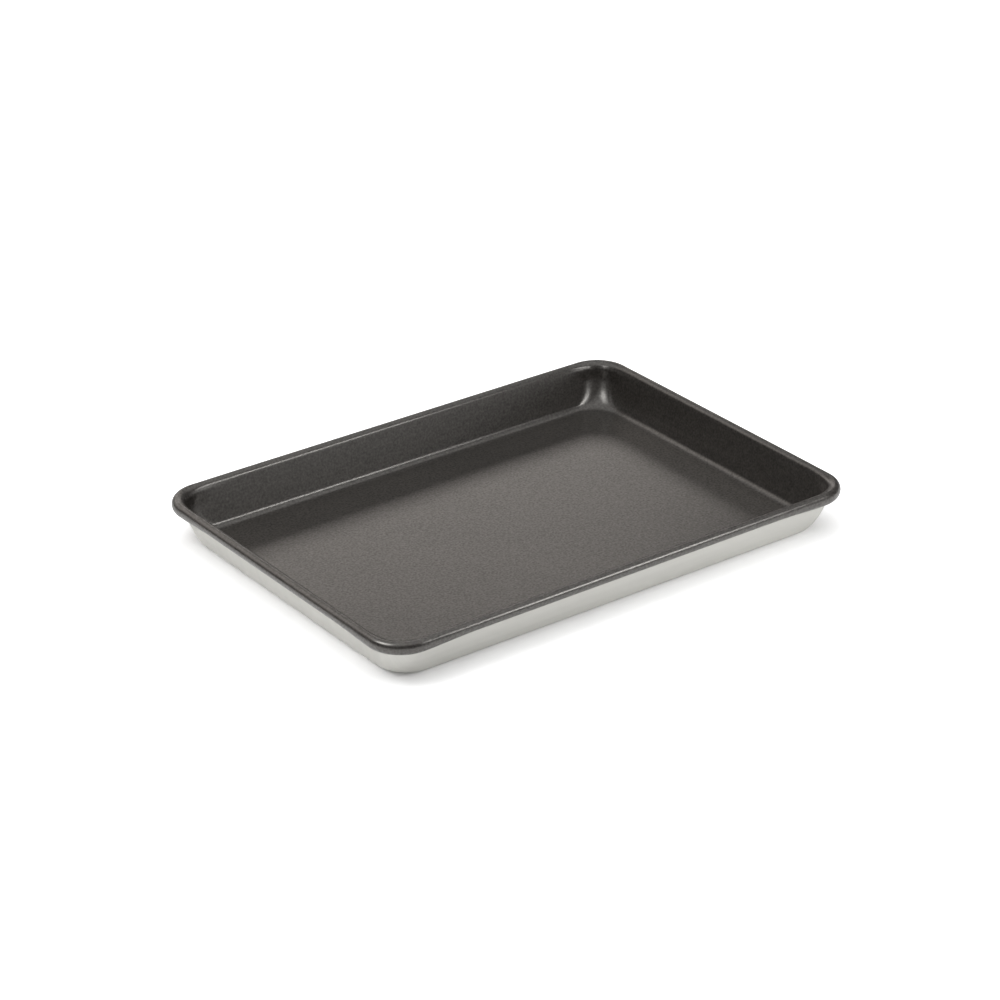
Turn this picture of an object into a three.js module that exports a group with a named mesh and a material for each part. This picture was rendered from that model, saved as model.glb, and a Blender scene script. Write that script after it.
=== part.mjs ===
// A quarter-size sheet pan: one drawn aluminium sheet whose rim is curled round a steel wire,
// with a dark non-stick coating on the face that food touches.
// Millimetres, +Z up. The origin is on the table under the middle of the base, +X along the long side.
import * as THREE from 'three';

// Driving dimensions

const LENGTH = 330.2; // over the coated rim, along X
const WIDTH = 241.3; // over the coated rim, along Y
const HEIGHT = 28; // from the table to the top of the coated rim
const SHEET = 1; // thickness of the aluminium
const WALL_LEAN = 16.4; // degrees that the walls lean outwards from upright
const FLOOR_FILLET = 4.2; // inside radius where the floor turns up into the walls
const RIM_CORNER_RADIUS = 22.5; // outside of the rim, seen from above
const FLOOR_CORNER_RADIUS = 18.7; // edge of the flat floor, seen from above
const CORNER_FLARE = 3.6; // a power: the higher it is, the nearer the floor the corners open out
const WIRE_DIAMETER = 3.8;
const WIRE_CLEARANCE = 0.2; // between the wire and the inside of the curl
const WIRE_BUTT_GAP = 0.8; // between the two ends of the wire
const CURL_EDGE_GAP = 0.35; // between the end of the curl and the back of the wall
const COATING = 0.05; // thickness of the non-stick coating

// Fineness of the facets

const CORNER_STEPS = 8;
const FILLET_STEPS = 5;
const WALL_STEPS = 12;
const CURL_STEPS = 6; // in each of the curl's three stretches
const WIRE_SIDES = 12;

// The section through a wall
// It follows the face that takes the coating, from the edge of the flat floor, up the wall and round the
// curl. Inset is measured inwards from the outside of the rim, and height upwards from the table.

const lean = THREE.MathUtils.degToRad(WALL_LEAN);
const curlRadius = WIRE_DIAMETER / 2 + WIRE_CLEARANCE + SHEET;
const curlInset = COATING + curlRadius;
const curlHeight = HEIGHT - COATING - curlRadius;

// The fillet touches the floor and the straight wall, which itself runs on into the curl.
const filletHeight = SHEET + FLOOR_FILLET;
const filletAcrossWall = curlRadius + FLOOR_FILLET + (curlHeight - filletHeight) * Math.sin(lean);
const floorInset = curlInset + filletAcrossWall / Math.cos(lean);

// The curl turns until its coated edge is one gap away from the back of the wall. Facets meet on its top
// and on its outside, so that the rim has its full height, length and width.
const curlEdgeReach = (curlRadius - SHEET - CURL_EDGE_GAP) / (curlRadius + COATING);
const curlEnd = lean + 2 * Math.PI - Math.acos(curlEdgeReach);
const curlStops = [lean, Math.PI / 2, Math.PI, curlEnd];

// Seen from above, the corners run parallel to the rim over the curl. Down the wall they open out, slowly at
// first and then faster, to the floor's own corner radius.
const wholeOpening = FLOOR_CORNER_RADIUS - (RIM_CORNER_RADIUS - floorInset);
const openingDepth = curlHeight - SHEET;

function shareDownWall(height) {
  return THREE.MathUtils.clamp((curlHeight - height) / openingDepth, 0, 1);
}

function cornerOpeningAt(height) {
  return wholeOpening * shareDownWall(height) ** CORNER_FLARE;
}

// How fast the opening grows as the height grows.
function cornerOpeningSlopeAt(height) {
  return (-wholeOpening * CORNER_FLARE * shareDownWall(height) ** (CORNER_FLARE - 1)) / openingDepth;
}

// One point of the section has the direction in which the section runs on from it, the opening of the
// corners there and how fast that opening grows along the section.
function filletPoint(share) {
  const angle = THREE.MathUtils.lerp(1.5 * Math.PI, Math.PI + lean, share);
  const inset = floorInset + FLOOR_FILLET * Math.cos(angle);
  const height = filletHeight + FLOOR_FILLET * Math.sin(angle);
  return openedPoint(inset, height, Math.sin(angle), -Math.cos(angle));
}

function wallPoint(share) {
  const low = filletPoint(1);
  const high = curlPoint(lean);
  const inset = THREE.MathUtils.lerp(low.inset, high.inset, share);
  const height = THREE.MathUtils.lerp(low.height, high.height, share);
  return openedPoint(inset, height, -Math.sin(lean), Math.cos(lean));
}

function openedPoint(inset, height, insetRate, heightRate) {
  const opening = cornerOpeningAt(height);
  const openingRate = cornerOpeningSlopeAt(height) * heightRate;
  return { inset, height, insetRate, heightRate, opening, openingRate };
}

function curlPoint(angle) {
  return {
    inset: curlInset + curlRadius * Math.cos(angle),
    height: curlHeight + curlRadius * Math.sin(angle),
    insetRate: -Math.sin(angle),
    heightRate: Math.cos(angle),
    opening: 0,
    openingRate: 0,
  };
}

function wallSection() {
  const points = [];
  for (let step = 0; step < FILLET_STEPS; step += 1) {
    points.push(filletPoint(step / FILLET_STEPS));
  }
  for (let step = 0; step < WALL_STEPS; step += 1) {
    points.push(wallPoint(step / WALL_STEPS));
  }
  for (let stretch = 0; stretch + 1 < curlStops.length; stretch += 1) {
    for (let step = 0; step < CURL_STEPS; step += 1) {
      const angle = THREE.MathUtils.lerp(curlStops[stretch], curlStops[stretch + 1], step / CURL_STEPS);
      points.push(curlPoint(angle));
    }
  }
  points.push(curlPoint(curlStops.at(-1)));
  return points;
}

// Lines round the pan

// The directions in which a line round the pan bends, anticlockwise from above, corner by corner.
// Each has the signs of its corner's X and Y and the outward direction there.
function cornerDirections() {
  const signs = [[1, 1], [-1, 1], [-1, -1], [1, -1]];
  const directions = [];
  signs.forEach(([signX, signY], corner) => {
    for (let step = 0; step <= CORNER_STEPS; step += 1) {
      const angle = (corner + step / CORNER_STEPS) * (Math.PI / 2);
      directions.push({ signX, signY, outX: Math.cos(angle), outY: Math.sin(angle) });
    }
  });
  return directions;
}

// The line round the pan through one point of the section, moved off the coated face by a distance
// along the surface's own normal, which points away from the metal.
function lineRound(point, distance) {
  const radius = RIM_CORNER_RADIUS - point.inset + point.opening;
  return cornerDirections().map(({ signX, signY, outX, outY }) => {
    const spread = Math.abs(outX) + Math.abs(outY);
    const outRate = point.openingRate * (1 - spread) - point.insetRate;
    const steepness = Math.hypot(outRate, point.heightRate);
    const outShift = (-distance * point.heightRate) / steepness;
    const upShift = (distance * outRate) / steepness;
    const centreX = signX * (LENGTH / 2 - point.inset - radius);
    const centreY = signY * (WIDTH / 2 - point.inset - radius);
    return new THREE.Vector3(
      centreX + (radius + outShift) * outX,
      centreY + (radius + outShift) * outY,
      point.height + upShift,
    );
  });
}

function linesRound(section, distance) {
  return section.map((point) => lineRound(point, distance));
}

// Closed bodies

// A body skinned over a stack of lines with as many points each. The first and last lines lie flat and
// are filled in. The first runs anticlockwise as seen from outside the body.
function stackGeometry(lines) {
  const count = lines[0].length;
  const vertices = lines.flat();
  const triangles = [];
  for (let line = 0; line + 1 < lines.length; line += 1) {
    for (let place = 0; place < count; place += 1) {
      const next = (place + 1) % count;
      const here = line * count + place;
      const beside = line * count + next;
      triangles.push(here, here + count, beside + count);
      triangles.push(here, beside + count, beside);
    }
  }
  const firstMiddle = vertices.push(middleOf(lines[0])) - 1;
  const lastMiddle = vertices.push(middleOf(lines.at(-1))) - 1;
  const lastStart = (lines.length - 1) * count;
  for (let place = 0; place < count; place += 1) {
    const next = (place + 1) % count;
    triangles.push(firstMiddle, place, next);
    triangles.push(lastMiddle, lastStart + next, lastStart + place);
  }
  const geometry = new THREE.BufferGeometry().setFromPoints(vertices);
  geometry.setIndex(triangles);
  geometry.computeVertexNormals();
  return geometry;
}

function middleOf(points) {
  const middle = new THREE.Vector3();
  points.forEach((point) => middle.add(point));
  return middle.divideScalar(points.length);
}

// A layer of the sheet between two distances from the coated face: down the inside of the pan, over the
// rim to the edge of the curl, and back along its other face.
function layerGeometry(topDistance, bottomDistance) {
  const section = wallSection();
  const top = linesRound(section, topDistance);
  const bottom = linesRound(section, bottomDistance).reverse();
  return stackGeometry([...top, ...bottom]);
}

// Pieces

const pan = new THREE.Group();

function addPiece(name, geometry, material) {
  const mesh = new THREE.Mesh(geometry, material);
  mesh.name = name;
  pan.add(mesh);
}

// Pan body: a blank of aluminium sheet, drawn to shape and curled at the rim.
function makePanBody() {
  const satinAluminium = new THREE.MeshStandardMaterial({ color: 0xc3c2bb, roughness: 0.45, metalness: 1 });
  addPiece('pan_body', layerGeometry(0, -SHEET), satinAluminium);
}

// Rim wire: a steel rod bent to the rim's outline and trapped in the curl, its ends butted in the middle
// of the long side at +Y.
function makeRimWire() {
  const bendRadius = RIM_CORNER_RADIUS - curlInset;
  const bends = cornerDirections().map(({ signX, signY, outX, outY }) => ({
    x: signX * (LENGTH / 2 - RIM_CORNER_RADIUS) + bendRadius * outX,
    y: signY * (WIDTH / 2 - RIM_CORNER_RADIUS) + bendRadius * outY,
    outX,
    outY,
  }));
  const buttY = WIDTH / 2 - curlInset;
  const firstEnd = { x: -WIRE_BUTT_GAP / 2, y: buttY, outX: 0, outY: 1 };
  const lastEnd = { x: WIRE_BUTT_GAP / 2, y: buttY, outX: 0, outY: 1 };
  const firstCorner = CORNER_STEPS + 1;
  const path = [firstEnd, ...bends.slice(firstCorner), ...bends.slice(0, firstCorner), lastEnd];
  const sections = path.map(({ x, y, outX, outY }) => {
    const ring = [];
    for (let side = 0; side < WIRE_SIDES; side += 1) {
      const angle = (side / WIRE_SIDES) * 2 * Math.PI;
      const out = (WIRE_DIAMETER / 2) * Math.cos(angle);
      const up = (WIRE_DIAMETER / 2) * Math.sin(angle);
      ring.push(new THREE.Vector3(x + out * outX, y + out * outY, curlHeight + up));
    }
    return ring;
  });
  const galvanisedSteel = new THREE.MeshStandardMaterial({ color: 0x9da1a3, roughness: 0.5, metalness: 1 });
  addPiece('rim_wire', stackGeometry(sections), galvanisedSteel);
}

// Non-stick coating: baked onto the inside, over the rim and round the curl to the sheet's edge.
function makeNonstickCoating() {
  const charcoalCoating = new THREE.MeshStandardMaterial({ color: 0x393836, roughness: 0.4, metalness: 0 });
  addPiece('nonstick_coating', layerGeometry(COATING, 0), charcoalCoating);
}

makePanBody();
makeRimWire();
makeNonstickCoating();

export default pan;
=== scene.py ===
import math

import bpy
from mathutils import Matrix, Vector


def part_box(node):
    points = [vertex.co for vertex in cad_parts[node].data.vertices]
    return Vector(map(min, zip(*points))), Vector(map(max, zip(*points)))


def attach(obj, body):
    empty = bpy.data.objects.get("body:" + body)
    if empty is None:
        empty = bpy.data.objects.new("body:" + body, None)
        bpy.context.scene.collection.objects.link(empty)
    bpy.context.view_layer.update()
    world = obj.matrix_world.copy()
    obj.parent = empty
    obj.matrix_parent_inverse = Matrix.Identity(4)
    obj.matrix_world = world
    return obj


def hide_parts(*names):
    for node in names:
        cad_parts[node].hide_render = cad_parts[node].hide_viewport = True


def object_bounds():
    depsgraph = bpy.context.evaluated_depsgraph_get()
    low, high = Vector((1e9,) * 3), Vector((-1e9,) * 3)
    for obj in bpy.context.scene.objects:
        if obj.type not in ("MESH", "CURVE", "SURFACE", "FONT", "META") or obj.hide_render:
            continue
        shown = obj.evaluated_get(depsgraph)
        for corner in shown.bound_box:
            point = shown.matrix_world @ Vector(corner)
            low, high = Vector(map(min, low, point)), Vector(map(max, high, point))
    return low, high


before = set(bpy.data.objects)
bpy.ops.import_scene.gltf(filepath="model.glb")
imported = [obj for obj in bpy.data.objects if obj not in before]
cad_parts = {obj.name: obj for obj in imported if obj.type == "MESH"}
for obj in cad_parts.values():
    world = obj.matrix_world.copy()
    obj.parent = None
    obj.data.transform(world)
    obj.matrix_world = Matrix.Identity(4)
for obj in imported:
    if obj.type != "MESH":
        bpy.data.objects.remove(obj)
cad_low, cad_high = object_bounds()
scene = bpy.context.scene
scene.view_settings.view_transform = "Standard"

# Camera
# A long lens, a little above the pan and off its near left corner, looking just past the middle of the
# floor. The picture is tilted by less than a degree.
camera_sensor = 36
camera_lens = 117.76
camera_distance = 1.9228
camera_azimuth = math.radians(-35.893)
camera_elevation = math.radians(26.545)
camera_roll = math.radians(-0.769)
camera_target = Vector((0.00170, 0.00911, 0.01677))

turn = Matrix.Rotation(camera_azimuth, 4, "Z")
tilt = Matrix.Rotation(math.pi / 2 - camera_elevation, 4, "X")
roll = Matrix.Rotation(camera_roll, 4, "Z")
step_back = Matrix.Translation((0, 0, camera_distance))
camera_data = bpy.data.cameras.new("camera")
camera_data.sensor_width = camera_sensor
camera_data.lens = camera_lens
camera = bpy.data.objects.new("camera", camera_data)
camera.matrix_world = Matrix.Translation(camera_target) @ turn @ tilt @ roll @ step_back
scene.collection.objects.link(camera)
scene.camera = camera

# Pan body
# One blank of soft aluminium sheet, drawn into a tray in a press, with its rim curled outwards and under
# round a wire. It is bare outside: a satin, rolled surface with a faint grain along the sheet.
pan_low, pan_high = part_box("pan_body")
coat_low, coat_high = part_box("nonstick_coating")
wire_low, wire_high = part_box("rim_wire")

sheet_thickness = coat_low.z - pan_low.z
coat_thickness = coat_high.z - pan_high.z
wire_radius = (wire_high.z - wire_low.z) / 2
wall_lean = math.radians(16.4)
floor_fillet = 0.0042
rim_corner_radius = 0.0225
floor_corner_radius = 0.0187
corner_flare = 3.6  # a power: the higher it is, the nearer the floor the corners open out
curl_edge_gap = 0.00035
corner_swell = 0.0013  # how much lower the curl hangs at the corners
swell_run = 0.035  # along the straight, before the corner starts
corner_shoulder = 0.0016  # how much further in the curl's inner side stands at the corners
shoulder_run = 0.009  # along the straight, before the corner starts
shoulder_full_share = 0.3  # of the corner's radius, where the shoulder is full
shoulder_depth = 0.008  # down the wall, from the middle of the curl
floor_margin = 0.002  # a flat ring inside the floor's edge

curl_height = (wire_low.z + wire_high.z) / 2
curl_radius = pan_high.z - curl_height
curl_inset = coat_thickness + curl_radius
curl_edge_reach = (curl_radius - sheet_thickness - curl_edge_gap) / (curl_radius + coat_thickness)
curl_turn = 2 * math.pi - math.acos(curl_edge_reach)
fillet_height = sheet_thickness + floor_fillet
fillet_across_wall = curl_radius + floor_fillet + (curl_height - fillet_height) * math.sin(wall_lean)
floor_inset = curl_inset + fillet_across_wall / math.cos(wall_lean)

corner_steps = 24
straight_cuts = 60
margin_cuts = 1
fillet_points = 16
wall_cuts = 20
curl_points = 40
weld_distance = 1e-6
hard_edge_angle = math.radians(40)


def add_node(tree, kind, inputs=None, **settings):
    """A new node, with its settings, and its inputs linked to sockets or set to values."""
    node = tree.nodes.new(kind)
    for name, value in settings.items():
        setattr(node, name, value)
    for name, value in (inputs or {}).items():
        if isinstance(value, bpy.types.NodeSocket):
            tree.links.new(value, node.inputs[name])
        else:
            node.inputs[name].default_value = value
    return node


def add_math(tree, operation, first, second=0.0, third=0.0):
    """The result of a sum on up to three numbers or sockets."""
    node = add_node(tree, "ShaderNodeMath", {0: first, 1: second, 2: third}, operation=operation)
    return node.outputs["Value"]


def add_product(tree, first, *others):
    """The product of numbers or sockets."""
    product = first
    for factor in others:
        product = add_math(tree, "MULTIPLY", product, factor)
    return product


def add_vector_math(tree, operation, inputs):
    """The vector that an operation on vectors gives."""
    return add_node(tree, "ShaderNodeVectorMath", inputs, operation=operation).outputs["Vector"]


def join_vector(tree, parts):
    """A vector from its X, Y and Z by name, where one that is left out is 0."""
    return add_node(tree, "ShaderNodeCombineXYZ", parts).outputs["Vector"]


def split_vector(tree, vector):
    """The X, Y and Z of a vector, by name."""
    return add_node(tree, "ShaderNodeSeparateXYZ", {"Vector": vector}).outputs


def share_between(tree, value, start, end, blend="LINEAR"):
    """How far a value has come from a start to an end, held between 0 and 1."""
    node = add_node(
        tree,
        "ShaderNodeMapRange",
        {"Value": value, "From Min": start, "From Max": end},
        interpolation_type=blend,
    )
    return node.outputs["Result"]


def new_geometry_tree(name, sizes):
    """A geometry tree with named sizes and a material, as (tree, input sockets by name, output node)."""
    tree = bpy.data.node_groups.new(name, "GeometryNodeTree")
    for label in sizes:
        tree.interface.new_socket(name=label, in_out="INPUT", socket_type="NodeSocketFloat")
    tree.interface.new_socket(name="Material", in_out="INPUT", socket_type="NodeSocketMaterial")
    tree.interface.new_socket(name="Geometry", in_out="OUTPUT", socket_type="NodeSocketGeometry")
    sockets = tree.nodes.new("NodeGroupInput").outputs
    return tree, sockets, tree.nodes.new("NodeGroupOutput")


def end_geometry_tree(tree, given, output, mesh):
    """Ends a geometry tree with its smooth, real mesh in the given material."""
    smooth = add_node(tree, "GeometryNodeSetShadeSmooth", {"Geometry": mesh})
    real = add_node(tree, "GeometryNodeRealizeInstances", {"Geometry": smooth.outputs["Geometry"]})
    finished = add_node(
        tree,
        "GeometryNodeSetMaterial",
        {"Geometry": real.outputs["Geometry"], "Material": given["Material"]},
    )
    tree.links.new(finished.outputs["Geometry"], output.inputs["Geometry"])


def carry(tree, geometry, fields):
    """A geometry that carries fields with it, each named with its kind, as sockets by name."""
    carrier = add_node(tree, "GeometryNodeCaptureAttribute", {"Geometry": geometry}, domain="POINT")
    for name, (kind, field) in fields.items():
        carrier.capture_items.new(kind, name)
        tree.links.new(field, carrier.inputs[name])
    return carrier.outputs


def rounded_outline(tree, length, width, radius):
    """A rounded rectangle seen from above, from the corner at +X +Y round by way of +Y."""
    box = add_node(
        tree,
        "GeometryNodeCurvePrimitiveQuadrilateral",
        {"Width": length, "Height": width},
        mode="RECTANGLE",
    )
    rounded = add_node(
        tree,
        "GeometryNodeFilletCurve",
        {"Curve": box.outputs["Curve"], "Count": corner_steps, "Radius": radius},
        mode="POLY",
    )
    return rounded.outputs["Curve"]


def with_cut_straights(tree, outline):
    """A rounded outline whose straights are cut into short lengths."""
    index = add_node(tree, "GeometryNodeInputIndex").outputs["Index"]
    step = add_math(tree, "MODULO", index, corner_steps + 1)
    half_step = 0.5
    starts_straight = add_math(tree, "COMPARE", step, corner_steps, half_step)
    cuts = add_math(tree, "MULTIPLY", starts_straight, straight_cuts)
    return add_node(tree, "GeometryNodeSubdivideCurve", {"Curve": outline, "Cuts": cuts}).outputs["Curve"]


def with_upright_normals(tree, outline):
    """An outline whose normals lie flat and point out of the pan."""
    upright = add_node(tree, "GeometryNodeSetCurveNormal", {"Curve": outline}, mode="Z_UP")
    return upright.outputs["Curve"]


def wall_section(tree, given):
    """The section of the coated face, from the floor's edge up the fillet and the wall and round the curl,
    and the inset at which the wall meets the curl. Its X runs out of the pan and its Y runs down it."""

    def place(inset, height):
        out = add_math(tree, "MULTIPLY", inset, -1.0)
        down = add_math(tree, "MULTIPLY", height, -1.0)
        return join_vector(tree, {"X": out, "Y": down})

    def arc(centre, radius, start, sweep, points):
        bow = add_node(
            tree,
            "GeometryNodeCurveArc",
            {"Resolution": points, "Radius": radius, "Start Angle": start, "Sweep Angle": sweep},
            mode="RADIUS",
        )
        moved = add_node(
            tree,
            "GeometryNodeTransform",
            {"Geometry": bow.outputs["Curve"], "Translation": centre},
        )
        return moved.outputs["Geometry"]

    def line(start, end, cuts):
        straight = add_node(
            tree, "GeometryNodeCurvePrimitiveLine", {"Start": start, "End": end}, mode="POINTS"
        )
        divided = add_node(
            tree, "GeometryNodeSubdivideCurve", {"Curve": straight.outputs["Curve"], "Cuts": cuts}
        )
        return divided.outputs["Curve"]

    def touch(centre_inset, centre_height, radius, side):
        """The point where the leaning wall touches a circle, as (inset, height)."""
        across = add_math(tree, "MULTIPLY", radius, add_math(tree, "COSINE", given["Wall Lean"]))
        up = add_math(tree, "MULTIPLY", radius, add_math(tree, "SINE", given["Wall Lean"]))
        inset = add_math(tree, "MULTIPLY_ADD", across, side, centre_inset)
        height = add_math(tree, "MULTIPLY_ADD", up, side, centre_height)
        return inset, height

    fillet_middle = add_math(tree, "ADD", given["Floor Height"], given["Floor Fillet"])
    margin_inset = add_math(tree, "ADD", given["Floor Inset"], given["Floor Margin"])
    margin_start = place(margin_inset, given["Floor Height"])
    floor_edge = place(given["Floor Inset"], given["Floor Height"])
    wall_low = touch(given["Floor Inset"], fillet_middle, given["Floor Fillet"], -1.0)
    wall_high = touch(given["Curl Inset"], given["Curl Height"], given["Curl Radius"], 1.0)
    quarter = math.pi / 2
    stretches = [
        line(margin_start, floor_edge, margin_cuts),
        arc(
            place(given["Floor Inset"], fillet_middle),
            given["Floor Fillet"],
            quarter,
            add_math(tree, "SUBTRACT", given["Wall Lean"], quarter),
            fillet_points,
        ),
        line(place(*wall_low), place(*wall_high), wall_cuts),
        arc(
            place(given["Curl Inset"], given["Curl Height"]),
            given["Curl Radius"],
            add_math(tree, "ADD", math.pi, given["Wall Lean"]),
            given["Curl Turn"],
            curl_points,
        ),
    ]
    section = add_node(tree, "GeometryNodeJoinGeometry")
    for stretch in stretches:
        tree.links.new(stretch, section.inputs["Geometry"])
    wall_inset, _ = wall_high
    return section.outputs["Geometry"], wall_inset


def opened_corners(tree, given, rim, straight_ends, height, is_wall):
    """The move that opens the corners out down the wall, slowly at first, to the floor's own radius."""
    radius_change = add_math(tree, "SUBTRACT", given["Floor Corner Radius"], given["Rim Corner Radius"])
    whole_opening = add_math(tree, "ADD", radius_change, given["Floor Inset"])
    share_down = share_between(tree, height, given["Curl Height"], given["Floor Height"])
    flared = add_math(tree, "POWER", share_down, given["Corner Flare"])
    opening = add_product(tree, whole_opening, flared, is_wall)
    draw_in = add_vector_math(tree, "DIVIDE", {0: rim["Rim Place"], 1: straight_ends})
    draw_in = add_vector_math(tree, "MINIMUM", {0: draw_in, 1: (1, 1, 0)})
    draw_in = add_vector_math(tree, "MAXIMUM", {0: draw_in, 1: (-1, -1, 0)})
    way = add_vector_math(tree, "SUBTRACT", {0: rim["Out"], 1: draw_in})
    return add_vector_math(tree, "SCALE", {0: way, "Scale": opening})


def hanging_curl(tree, given, into_corner, height, is_wall):
    """The move that lets the curl hang lower at the corners."""
    run_start = add_math(tree, "MULTIPLY", given["Swell Run"], -1.0)
    nearness = share_between(tree, into_corner, run_start, 0.0, "SMOOTHSTEP")
    curl_top = add_math(tree, "ADD", given["Curl Height"], given["Curl Radius"])
    below_top = add_math(tree, "SUBTRACT", curl_top, height)
    curl_depth = add_math(tree, "MULTIPLY", given["Curl Radius"], 2.0)
    share_down = add_math(tree, "DIVIDE", below_top, curl_depth)
    is_curl = add_math(tree, "SUBTRACT", 1.0, is_wall)
    rise = add_product(tree, nearness, share_down, is_curl, given["Corner Swell"], -1.0)
    return join_vector(tree, {"Z": rise})


def corner_shoulders(tree, given, rim, into_corner, height, inset, wall_inset):
    """The move that brings the inner side of the curl, and the wall below it, further in at the corners."""
    run_start = add_math(tree, "MULTIPLY", given["Shoulder Run"], -1.0)
    run_end = add_math(tree, "MULTIPLY", given["Rim Corner Radius"], shoulder_full_share)
    nearness = share_between(tree, into_corner, run_start, run_end, "SMOOTHSTEP")
    share_inward = share_between(tree, inset, given["Curl Inset"], wall_inset, "SMOOTHSTEP")
    foot = add_math(tree, "SUBTRACT", given["Curl Height"], given["Shoulder Depth"])
    share_up = share_between(tree, height, foot, given["Curl Height"], "SMOOTHSTEP")
    reach = add_product(tree, nearness, share_inward, share_up, given["Corner Shoulder"], -1.0)
    return add_vector_math(tree, "SCALE", {0: rim["Out"], "Scale": reach})


def weld(tree, mesh):
    """A mesh whose points that lie together are made one."""
    welded = add_node(tree, "GeometryNodeMergeByDistance", {"Geometry": mesh, "Distance": weld_distance})
    return welded.outputs["Geometry"]


def with_floor(tree, given, mesh, inset):
    """The mesh with its open edge round the floor drawn in to the middle, which fills the floor."""

    def compare(operation, first, second):
        node = add_node(
            tree, "FunctionNodeCompare", {"A": first, "B": second}, data_type="FLOAT", operation=operation
        )
        return node.outputs["Result"]

    edge_faces = add_node(tree, "GeometryNodeInputMeshEdgeNeighbors").outputs["Face Count"]
    is_open = compare("LESS_THAN", edge_faces, 2)
    is_floor = compare("GREATER_THAN", inset, given["Floor Inset"])
    floor_edge = add_node(tree, "FunctionNodeBooleanMath", {0: is_open, 1: is_floor}, operation="AND")
    drawn = add_node(
        tree,
        "GeometryNodeExtrudeMesh",
        {"Mesh": mesh, "Selection": floor_edge.outputs["Boolean"], "Offset Scale": 0.0},
        mode="EDGES",
    )
    gathered = add_node(
        tree,
        "GeometryNodeSetPosition",
        {
            "Geometry": drawn.outputs["Mesh"],
            "Selection": drawn.outputs["Top"],
            "Position": join_vector(tree, {"Z": given["Floor Height"]}),
        },
    )
    return weld(tree, gathered.outputs["Geometry"])


def pressed_face_tree():
    """The face of the sheet that takes the coating: its section carried round the rim's outline, with the
    corners opening out faster and faster down the wall, the curl a little fuller round the corners, and the
    floor filled in."""
    sizes = [
        "Length",
        "Width",
        "Rim Corner Radius",
        "Straight End X",
        "Straight End Y",
        "Floor Corner Radius",
        "Corner Flare",
        "Curl Inset",
        "Curl Height",
        "Curl Radius",
        "Curl Turn",
        "Corner Swell",
        "Swell Run",
        "Corner Shoulder",
        "Shoulder Run",
        "Shoulder Depth",
        "Wall Lean",
        "Floor Inset",
        "Floor Margin",
        "Floor Height",
        "Floor Fillet",
    ]
    tree, given, output = new_geometry_tree("pressed_face", sizes)
    position = add_node(tree, "GeometryNodeInputPosition").outputs["Position"]
    normal = add_node(tree, "GeometryNodeInputNormal").outputs["Normal"]

    outline = rounded_outline(tree, given["Length"], given["Width"], given["Rim Corner Radius"])
    outline = with_upright_normals(tree, with_cut_straights(tree, outline))
    rim = carry(tree, outline, {"Out": ("VECTOR", normal), "Rim Place": ("VECTOR", position)})
    section, wall_inset = wall_section(tree, given)
    section_inset = add_math(tree, "MULTIPLY", split_vector(tree, position)["X"], -1.0)
    wall = carry(tree, section, {"Inset": ("FLOAT", section_inset)})
    swept = add_node(
        tree, "GeometryNodeCurveToMesh", {"Curve": rim["Geometry"], "Profile Curve": wall["Geometry"]}
    )

    inset = wall["Inset"]
    height = split_vector(tree, position)["Z"]
    is_wall = add_math(tree, "GREATER_THAN", inset, wall_inset)
    straight_ends = join_vector(tree, {"X": given["Straight End X"], "Y": given["Straight End Y"], "Z": 1.0})
    past_straight = add_vector_math(tree, "ABSOLUTE", {0: rim["Rim Place"]})
    past_straight = add_vector_math(tree, "SUBTRACT", {0: past_straight, 1: straight_ends})
    past_straight = split_vector(tree, past_straight)
    into_corner = add_math(tree, "MINIMUM", past_straight["X"], past_straight["Y"])

    opening = opened_corners(tree, given, rim, straight_ends, height, is_wall)
    hanging = hanging_curl(tree, given, into_corner, height, is_wall)
    shoulders = corner_shoulders(tree, given, rim, into_corner, height, inset, wall_inset)
    move = add_vector_math(tree, "ADD", {0: opening, 1: hanging})
    move = add_vector_math(tree, "ADD", {0: move, 1: shoulders})
    shaped = add_node(tree, "GeometryNodeSetPosition", {"Geometry": swept.outputs["Mesh"], "Offset": move})
    walls = weld(tree, shaped.outputs["Geometry"])
    end_geometry_tree(tree, given, output, with_floor(tree, given, walls, inset))
    return tree


def add_tree(piece, tree, values):
    """Puts a geometry tree on a piece, with its inputs by name."""
    modifier = piece.modifiers.new(tree.name, "NODES")
    modifier.node_group = tree
    for item in tree.interface.items_tree:
        if item.in_out == "INPUT":
            modifier[item.identifier] = values[item.name]


def new_piece(name):
    """An empty piece at the origin, whose modifiers then make its mesh."""
    piece = bpy.data.objects.new(name, bpy.data.meshes.new(name))
    scene.collection.objects.link(piece)
    return piece


def make_plain(piece):
    """Turns what the piece's modifiers give into its plain mesh, with hard edges where it turns sharply."""
    graph = bpy.context.evaluated_depsgraph_get()
    mesh = bpy.data.meshes.new_from_object(
        piece.evaluated_get(graph), preserve_all_data_layers=True, depsgraph=graph
    )
    piece.modifiers.clear()
    piece.data = mesh
    mesh.set_sharp_from_angle(angle=hard_edge_angle)


pressed_face = pressed_face_tree()


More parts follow.
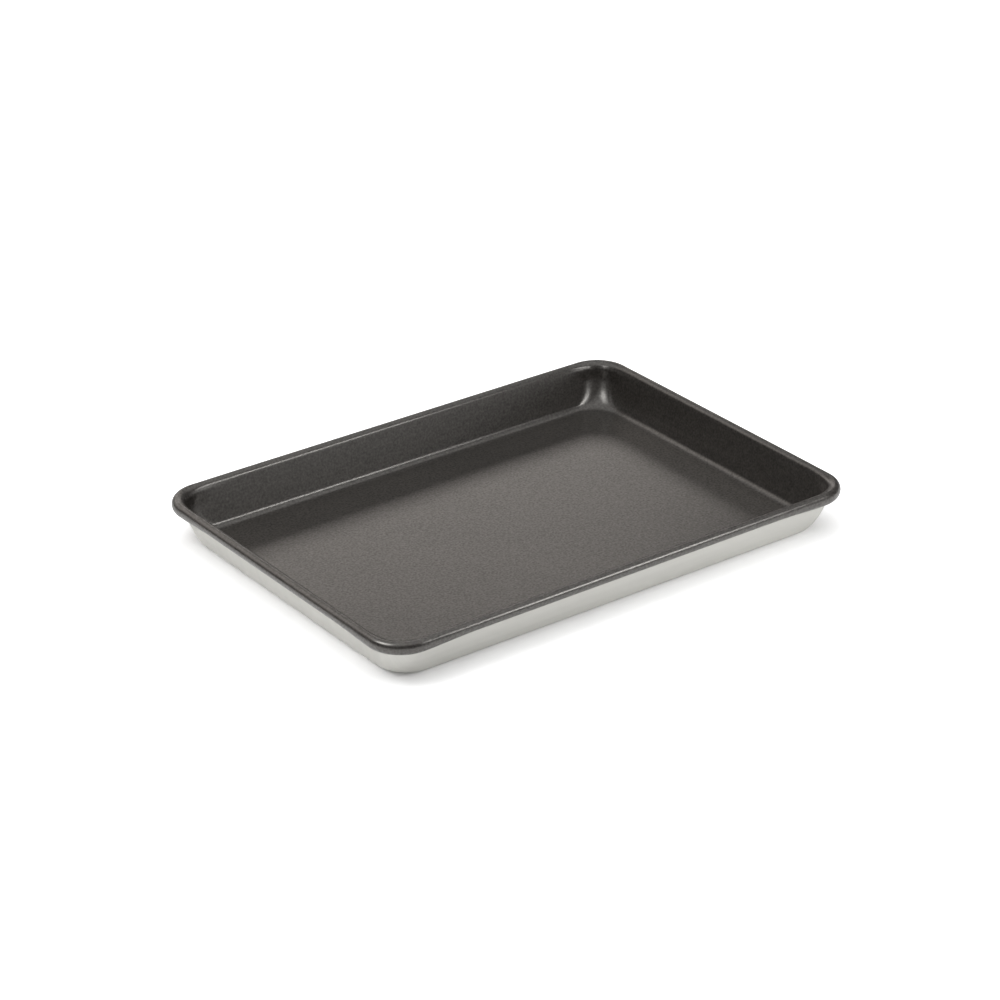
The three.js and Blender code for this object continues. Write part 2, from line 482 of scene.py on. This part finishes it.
def sheet_layer(name, material, thickness, side):
    """A layer on one side of the coated face: the metal behind it, or the coating in front of it."""
    layer = new_piece(name)
    add_tree(
        layer,
        pressed_face,
        {
            "Length": cad_high.x - cad_low.x,
            "Width": cad_high.y - cad_low.y,
            "Rim Corner Radius": rim_corner_radius,
            "Straight End X": cad_high.x - rim_corner_radius,
            "Straight End Y": cad_high.y - rim_corner_radius,
            "Floor Corner Radius": floor_corner_radius,
            "Corner Flare": corner_flare,
            "Curl Inset": curl_inset,
            "Curl Height": curl_height,
            "Curl Radius": curl_radius,
            "Curl Turn": curl_turn,
            "Corner Swell": corner_swell,
            "Swell Run": swell_run,
            "Corner Shoulder": corner_shoulder,
            "Shoulder Run": shoulder_run,
            "Shoulder Depth": shoulder_depth,
            "Wall Lean": wall_lean,
            "Floor Inset": floor_inset,
            "Floor Margin": floor_margin,
            "Floor Height": sheet_thickness,
            "Floor Fillet": floor_fillet,
            "Material": material,
        },
    )
    thicken = layer.modifiers.new("thickness", "SOLIDIFY")
    thicken.thickness = thickness
    thicken.offset = side
    make_plain(layer)
    return layer


def new_material(name):
    """A material with its node tree, as (material, tree, shader)."""
    material = bpy.data.materials.new(name)
    material.use_nodes = True
    tree = material.node_tree
    return material, tree, tree.nodes["Principled BSDF"]


def new_shader_group(name, inputs, outputs):
    """A shader group with named inputs and value outputs, as (tree, input sockets by name, output node)."""
    tree = bpy.data.node_groups.new(name, "ShaderNodeTree")
    for label, socket_type in inputs.items():
        tree.interface.new_socket(name=label, in_out="INPUT", socket_type=socket_type)
    for label in outputs:
        tree.interface.new_socket(name=label, in_out="OUTPUT", socket_type="NodeSocketFloat")
    return tree, tree.nodes.new("NodeGroupInput").outputs, tree.nodes.new("NodeGroupOutput")


def object_place(tree):
    """The place of a point on the object."""
    return add_node(tree, "ShaderNodeTexCoord").outputs["Object"]


def add_noise(tree, place, scale, detail):
    """Soft noise, widened so that it runs over most of 0 to 1."""
    noise = add_node(tree, "ShaderNodeTexNoise", {"Vector": place, "Scale": scale, "Detail": detail})
    usual_low, usual_high = 0.25, 0.75
    return share_between(tree, noise.outputs["Fac"], usual_low, usual_high)


def mix_colours(tree, share, first, second):
    """A colour between two others."""
    # The node has sockets of the same names for other kinds of value, so those for colours go by number.
    factor, colour_a, colour_b, mixed = 0, 6, 7, 2
    colours = {factor: share, colour_a: first, colour_b: second}
    return add_node(tree, "ShaderNodeMix", colours, data_type="RGBA").outputs[mixed]


def spread(tree, share, low, high):
    """A value that runs from low to high as a share runs from 0 to 1."""
    node = add_node(tree, "ShaderNodeMapRange", {"Value": share, "To Min": low, "To Max": high})
    return node.outputs["Result"]


def fine_grain_group():
    """The fine pebble of a surface, and flecks about a third of its size."""
    inputs = {"Place": "NodeSocketVector", "Grain Size": "NodeSocketFloat"}
    tree, given, output = new_shader_group("fine_grain", inputs, ["Grain", "Fleck"])
    flecks_across_grain = 2.9
    grain_scale = add_math(tree, "DIVIDE", 1.0, given["Grain Size"])
    fleck_scale = add_math(tree, "MULTIPLY", grain_scale, flecks_across_grain)
    grain = add_noise(tree, given["Place"], grain_scale, detail=2.0)
    fleck = add_noise(tree, given["Place"], fleck_scale, detail=1.0)
    tree.links.new(grain, output.inputs["Grain"])
    tree.links.new(fleck, output.inputs["Fleck"])
    return tree


def drawn_lines_group():
    """Faint lines along the X of a place, as rolling and pressing leave them, of a length and a width."""
    inputs = {"Place": "NodeSocketVector", "Line Length": "NodeSocketFloat", "Line Width": "NodeSocketFloat"}
    tree, given, output = new_shader_group("drawn_lines", inputs, ["Line"])
    along = add_math(tree, "DIVIDE", 1.0, given["Line Length"])
    across = add_math(tree, "DIVIDE", 1.0, given["Line Width"])
    squeeze = join_vector(tree, {"X": along, "Y": across})
    squeezed = add_vector_math(tree, "MULTIPLY", {0: given["Place"], 1: squeeze})
    tree.links.new(add_noise(tree, squeezed, scale=1.0, detail=3.0), output.inputs["Line"])
    return tree


def place_on_blank(tree):
    """Where a point of the pan lay on the flat blank, near enough: a wall is folded out by its height,
    towards the side on which it stands past the floor."""
    place = split_vector(tree, object_place(tree))
    floor_ends = {"X": cad_high.x - floor_inset, "Y": cad_high.y - floor_inset}
    least_past_floor = 1e-6  # so that the two are never both 0
    past_floor = {}
    for axis, end in floor_ends.items():
        beyond = add_math(tree, "SUBTRACT", add_math(tree, "ABSOLUTE", place[axis]), end)
        past_floor[axis] = add_math(tree, "MAXIMUM", beyond, least_past_floor)
    past_both = add_math(tree, "ADD", past_floor["X"], past_floor["Y"])
    folded = {}
    for axis, beyond in past_floor.items():
        fold = add_math(tree, "MULTIPLY", place["Z"], add_math(tree, "DIVIDE", beyond, past_both))
        side = add_math(tree, "SIGN", place[axis])
        folded[axis] = add_math(tree, "MULTIPLY_ADD", fold, side, place[axis])
    return join_vector(tree, folded)


fine_grain = fine_grain_group()
drawn_lines = drawn_lines_group()

metal_dark = (0.715, 0.71, 0.68, 1)
metal_pale = (0.79, 0.785, 0.752, 1)
metal_smoothest = 0.58
metal_roughest = 0.72

satin_aluminium, tree, shader = new_material("satin_aluminium")
shader.inputs["Metallic"].default_value = 1
blank_place = place_on_blank(tree)
rolled = add_node(
    tree,
    "ShaderNodeGroup",
    {"Place": blank_place, "Line Length": 0.04, "Line Width": 0.0005},
    node_tree=drawn_lines,
).outputs["Line"]
bands = add_node(
    tree,
    "ShaderNodeGroup",
    {"Place": blank_place, "Line Length": 0.2, "Line Width": 0.006},
    node_tree=drawn_lines,
).outputs["Line"]
mean_line = add_math(tree, "DIVIDE", add_math(tree, "ADD", rolled, bands), 2.0)
metal_shade = mix_colours(tree, mean_line, metal_dark, metal_pale)
metal_roughness = spread(tree, rolled, metal_smoothest, metal_roughest)
metal_bump = add_node(tree, "ShaderNodeBump", {"Height": rolled, "Strength": 0.3, "Distance": 0.00002})
tree.links.new(metal_shade, shader.inputs["Base Color"])
tree.links.new(metal_roughness, shader.inputs["Roughness"])
tree.links.new(metal_bump.outputs["Normal"], shader.inputs["Normal"])

pan_body = sheet_layer("pan_body_sheet", satin_aluminium, sheet_thickness, -1)
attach(pan_body, "root")
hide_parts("pan_body")

# Rim wire
# A rod of galvanised steel that stiffens the rim: bent to its outline, laid in the curl before it is closed,
# with its two ends butted in the middle of a long side. The curl hides it.
wire_butt_gap = 0.0008
wire_bend_radius = rim_corner_radius - curl_inset
wire_sides = 24
zinc_dark = (0.52, 0.53, 0.54, 1)
zinc_pale = (0.66, 0.67, 0.68, 1)
zinc_smoothest = 0.4
zinc_roughest = 0.6


def rim_wire_tree():
    """A round rod along the rim's outline, parted at its butt and closed at both ends."""
    sizes = ["Length", "Width", "Bend Radius", "Height", "Radius", "Butt Gap"]
    tree, given, output = new_geometry_tree("rim_wire", sizes)
    outline = rounded_outline(tree, given["Length"], given["Width"], given["Bend Radius"])

    bend = add_math(tree, "MULTIPLY", given["Bend Radius"], math.pi / 2)
    straight = add_math(tree, "MULTIPLY_ADD", given["Bend Radius"], -2.0, given["Length"])
    middle = add_math(tree, "MULTIPLY_ADD", straight, 0.5, bend)
    # The node also has a start and an end as shares of the whole, so the two lengths go by number.
    start_length, end_length = 4, 5
    parted = add_node(
        tree,
        "GeometryNodeTrimCurve",
        {
            "Curve": outline,
            start_length: add_math(tree, "MULTIPLY_ADD", given["Butt Gap"], 0.5, middle),
            end_length: add_math(tree, "MULTIPLY_ADD", given["Butt Gap"], -0.5, middle),
        },
        mode="LENGTH",
    )
    section = add_node(
        tree, "GeometryNodeCurvePrimitiveCircle", {"Resolution": wire_sides, "Radius": given["Radius"]}
    )
    rod = add_node(
        tree,
        "GeometryNodeCurveToMesh",
        {
            "Curve": with_upright_normals(tree, parted.outputs["Curve"]),
            "Profile Curve": section.outputs["Curve"],
            "Fill Caps": True,
        },
    )
    lift = join_vector(tree, {"Z": given["Height"]})
    raised = add_node(
        tree, "GeometryNodeTransform", {"Geometry": rod.outputs["Mesh"], "Translation": lift}
    )
    end_geometry_tree(tree, given, output, raised.outputs["Geometry"])
    return tree


galvanised_steel, tree, shader = new_material("galvanised_steel")
shader.inputs["Metallic"].default_value = 1
zinc = add_node(
    tree, "ShaderNodeGroup", {"Place": object_place(tree), "Grain Size": 0.002}, node_tree=fine_grain
)
zinc_shade = mix_colours(tree, zinc.outputs["Fleck"], zinc_dark, zinc_pale)
zinc_roughness = spread(tree, zinc.outputs["Grain"], zinc_smoothest, zinc_roughest)
tree.links.new(zinc_shade, shader.inputs["Base Color"])
tree.links.new(zinc_roughness, shader.inputs["Roughness"])

rim_wire = new_piece("rim_wire_rod")
add_tree(
    rim_wire,
    rim_wire_tree(),
    {
        "Length": wire_high.x - wire_low.x - 2 * wire_radius,
        "Width": wire_high.y - wire_low.y - 2 * wire_radius,
        "Bend Radius": wire_bend_radius,
        "Height": curl_height,
        "Radius": wire_radius,
        "Butt Gap": wire_butt_gap,
        "Material": galvanised_steel,
    },
)
make_plain(rim_wire)
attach(rim_wire, "root")
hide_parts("rim_wire")

# Non-stick coating
# A dark fluoropolymer film, sprayed on the blank and baked before it is pressed, so it covers the inside,
# the rim and the curl right to the sheet's edge.
film_dark = (0.0, 0.0, 0.0, 1)
film_pale = (0.049, 0.0425, 0.0375, 1)
film_gloss = (1.0, 0.965, 0.91, 1)
film_smoothest = 0.29
film_roughest = 0.32
pebble_share = 0.75  # of the film's shade, and the rest is streaks

charcoal_film, tree, shader = new_material("charcoal_film")
shader.inputs["Specular Tint"].default_value = film_gloss
shader.inputs["IOR"].default_value = 1.8
shader.inputs["Coat Roughness"].default_value = 0.31
film_place = object_place(tree)
pebble = add_node(tree, "ShaderNodeGroup", {"Place": film_place, "Grain Size": 0.0013}, node_tree=fine_grain)
film_split = split_vector(tree, film_place)
round_walls = add_math(tree, "ADD", film_split["X"], film_split["Y"])
streaks = add_node(
    tree,
    "ShaderNodeGroup",
    {
        "Place": join_vector(tree, {"X": round_walls, "Y": film_split["Z"]}),
        "Line Length": 0.06,
        "Line Width": 0.002,
    },
    node_tree=drawn_lines,
)
worn = add_math(tree, "MULTIPLY", streaks.outputs["Line"], 1 - pebble_share)
worn = add_math(tree, "MULTIPLY_ADD", pebble.outputs["Grain"], pebble_share, worn)
film_shade = mix_colours(tree, worn, film_dark, film_pale)
film_roughness = spread(tree, pebble.outputs["Fleck"], film_smoothest, film_roughest)
film_bump = add_node(
    tree, "ShaderNodeBump", {"Height": pebble.outputs["Grain"], "Strength": 0.09, "Distance": 0.0001}
)
tree.links.new(film_shade, shader.inputs["Base Color"])
tree.links.new(film_roughness, shader.inputs["Roughness"])
tree.links.new(pebble.outputs["Grain"], shader.inputs["Coat Weight"])
tree.links.new(film_bump.outputs["Normal"], shader.inputs["Normal"])

coating = sheet_layer("nonstick_film", charcoal_film, coat_thickness, 1)
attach(coating, "root")
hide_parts("nonstick_coating")

# Floor
# A sheet of matt white studio paper, far larger than the view. A glow of its own, weaker in reflections,
# grows from the pan's foot outwards and carries the paper to white. Weak next to the foot, it is a painted
# shadow band round the pan, on the paper and in the metal's reflections of it. From below, the camera sees
# through the paper to the pan's base.
floor_half = 30
floor_height = 0.00005
paper_grey = (0.82, 0.82, 0.82, 1)
# A low glow next to the foot paints shade there.
foot_lift = 0.1  # the glow's strength next to the pan's foot, where 1 is white
lift_start = -0.0165  # from the rim's outline outwards
lift_end = 0.024
mirrored_lift = 0.4  # the glow's share that reflections show

floor_mesh = bpy.data.meshes.new("studio_floor")
floor_corners = [(-1, -1), (1, -1), (1, 1), (-1, 1)]
floor_places = [(x * floor_half, y * floor_half, floor_height) for x, y in floor_corners]
floor_mesh.from_pydata(floor_places, [], [(0, 1, 2, 3)])
floor = bpy.data.objects.new("studio_floor", floor_mesh)
scene.collection.objects.link(floor)

white_paper, tree, shader = new_material("white_paper")
shader.inputs["Base Color"].default_value = paper_grey
shader.inputs["Roughness"].default_value = 1
shader.inputs["Specular IOR Level"].default_value = 0
shader.inputs["Emission Color"].default_value = (1, 1, 1, 1)
corner_centre = (cad_high.x - rim_corner_radius, cad_high.y - rim_corner_radius, 0)
one_quarter = add_vector_math(tree, "ABSOLUTE", {0: object_place(tree)})
past_corner = add_vector_math(tree, "SUBTRACT", {0: one_quarter, 1: corner_centre})
past_corner = add_vector_math(tree, "MAXIMUM", {0: past_corner, 1: (0, 0, 0)})
from_corner = add_node(tree, "ShaderNodeVectorMath", {0: past_corner}, operation="LENGTH").outputs["Value"]
from_rim = add_math(tree, "SUBTRACT", from_corner, rim_corner_radius)
# The glow is weak at the rim's outline and full further out, which paints a shadow band round the pan's
# foot.
lift = spread(tree, share_between(tree, from_rim, lift_start, lift_end), foot_lift, 1.0)
ray = add_node(tree, "ShaderNodeLightPath").outputs
mirrored = add_math(tree, "MAXIMUM", ray["Is Glossy Ray"], ray["Is Transmission Ray"])
shown = add_math(tree, "MULTIPLY_ADD", mirrored, mirrored_lift, ray["Is Camera Ray"])
is_back = add_node(tree, "ShaderNodeNewGeometry").outputs["Backfacing"]
from_below = add_math(tree, "MULTIPLY", is_back, ray["Is Camera Ray"])
tree.links.new(add_math(tree, "MULTIPLY", shown, lift), shader.inputs["Emission Strength"])
tree.links.new(add_math(tree, "SUBTRACT", 1.0, from_below), shader.inputs["Alpha"])
floor_mesh.materials.append(white_paper)

# Light
# Softboxes turned to the pan: two small bright ones close by at the left and the right, two warm panels
# behind that its floor mirrors, a low panel in front, and large dim ones overhead and below. The room is
# dim, but the camera sees it white.
white = (1, 1, 1)
warm = (1, 0.94, 0.89)
panel_distance = 2.2
room_brightness = 0.12


def add_softbox(name, elevation, azimuth, width, height, brightness, distance=panel_distance, tint=white):
    """A softbox that faces the middle of the pan, with its elevation and azimuth in degrees."""
    lamp = bpy.data.lights.new(name, "AREA")
    lamp.shape = "RECTANGLE"
    lamp.size = width
    lamp.size_y = height
    lamp.energy = brightness * math.pi * width * height
    lamp.color = tint
    softbox = bpy.data.objects.new(name, lamp)
    turn = Matrix.Rotation(math.radians(azimuth), 4, "Z")
    tilt = Matrix.Rotation(math.radians(90 - elevation), 4, "X")
    softbox.matrix_world = turn @ tilt @ Matrix.Translation((0, 0, distance))
    softbox.visible_camera = False
    scene.collection.objects.link(softbox)


add_softbox(
    "key_left", elevation=44, azimuth=-88, width=0.245, height=0.197, brightness=7.7, distance=0.59
)
add_softbox(
    "key_right", elevation=29.5, azimuth=29, width=0.227, height=0.125, brightness=11.3, distance=0.62
)
add_softbox(
    "back_right_panel", elevation=23.7, azimuth=156.5, width=1.5, height=0.36, brightness=1.7, tint=warm
)
add_softbox(
    "back_left_panel", elevation=33, azimuth=197, width=1.7, height=1.2, brightness=0.9, tint=warm
)
add_softbox("front_panel", elevation=5, azimuth=44, width=1.8, height=0.3, brightness=0.68)
add_softbox("top", elevation=90, azimuth=0, width=3.6, height=3.6, brightness=0.75)
add_softbox("below", elevation=-90, azimuth=0, width=3.6, height=3.6, brightness=0.75)

world = bpy.data.worlds.new("studio")
scene.world = world
world.use_nodes = True
room = world.node_tree.nodes["Background"]
room.inputs["Color"].default_value = (1, 1, 1, 1)
seen = add_node(world.node_tree, "ShaderNodeLightPath").outputs["Is Camera Ray"]
world.node_tree.links.new(spread(world.node_tree, seen, room_brightness, 1.0), room.inputs["Strength"])
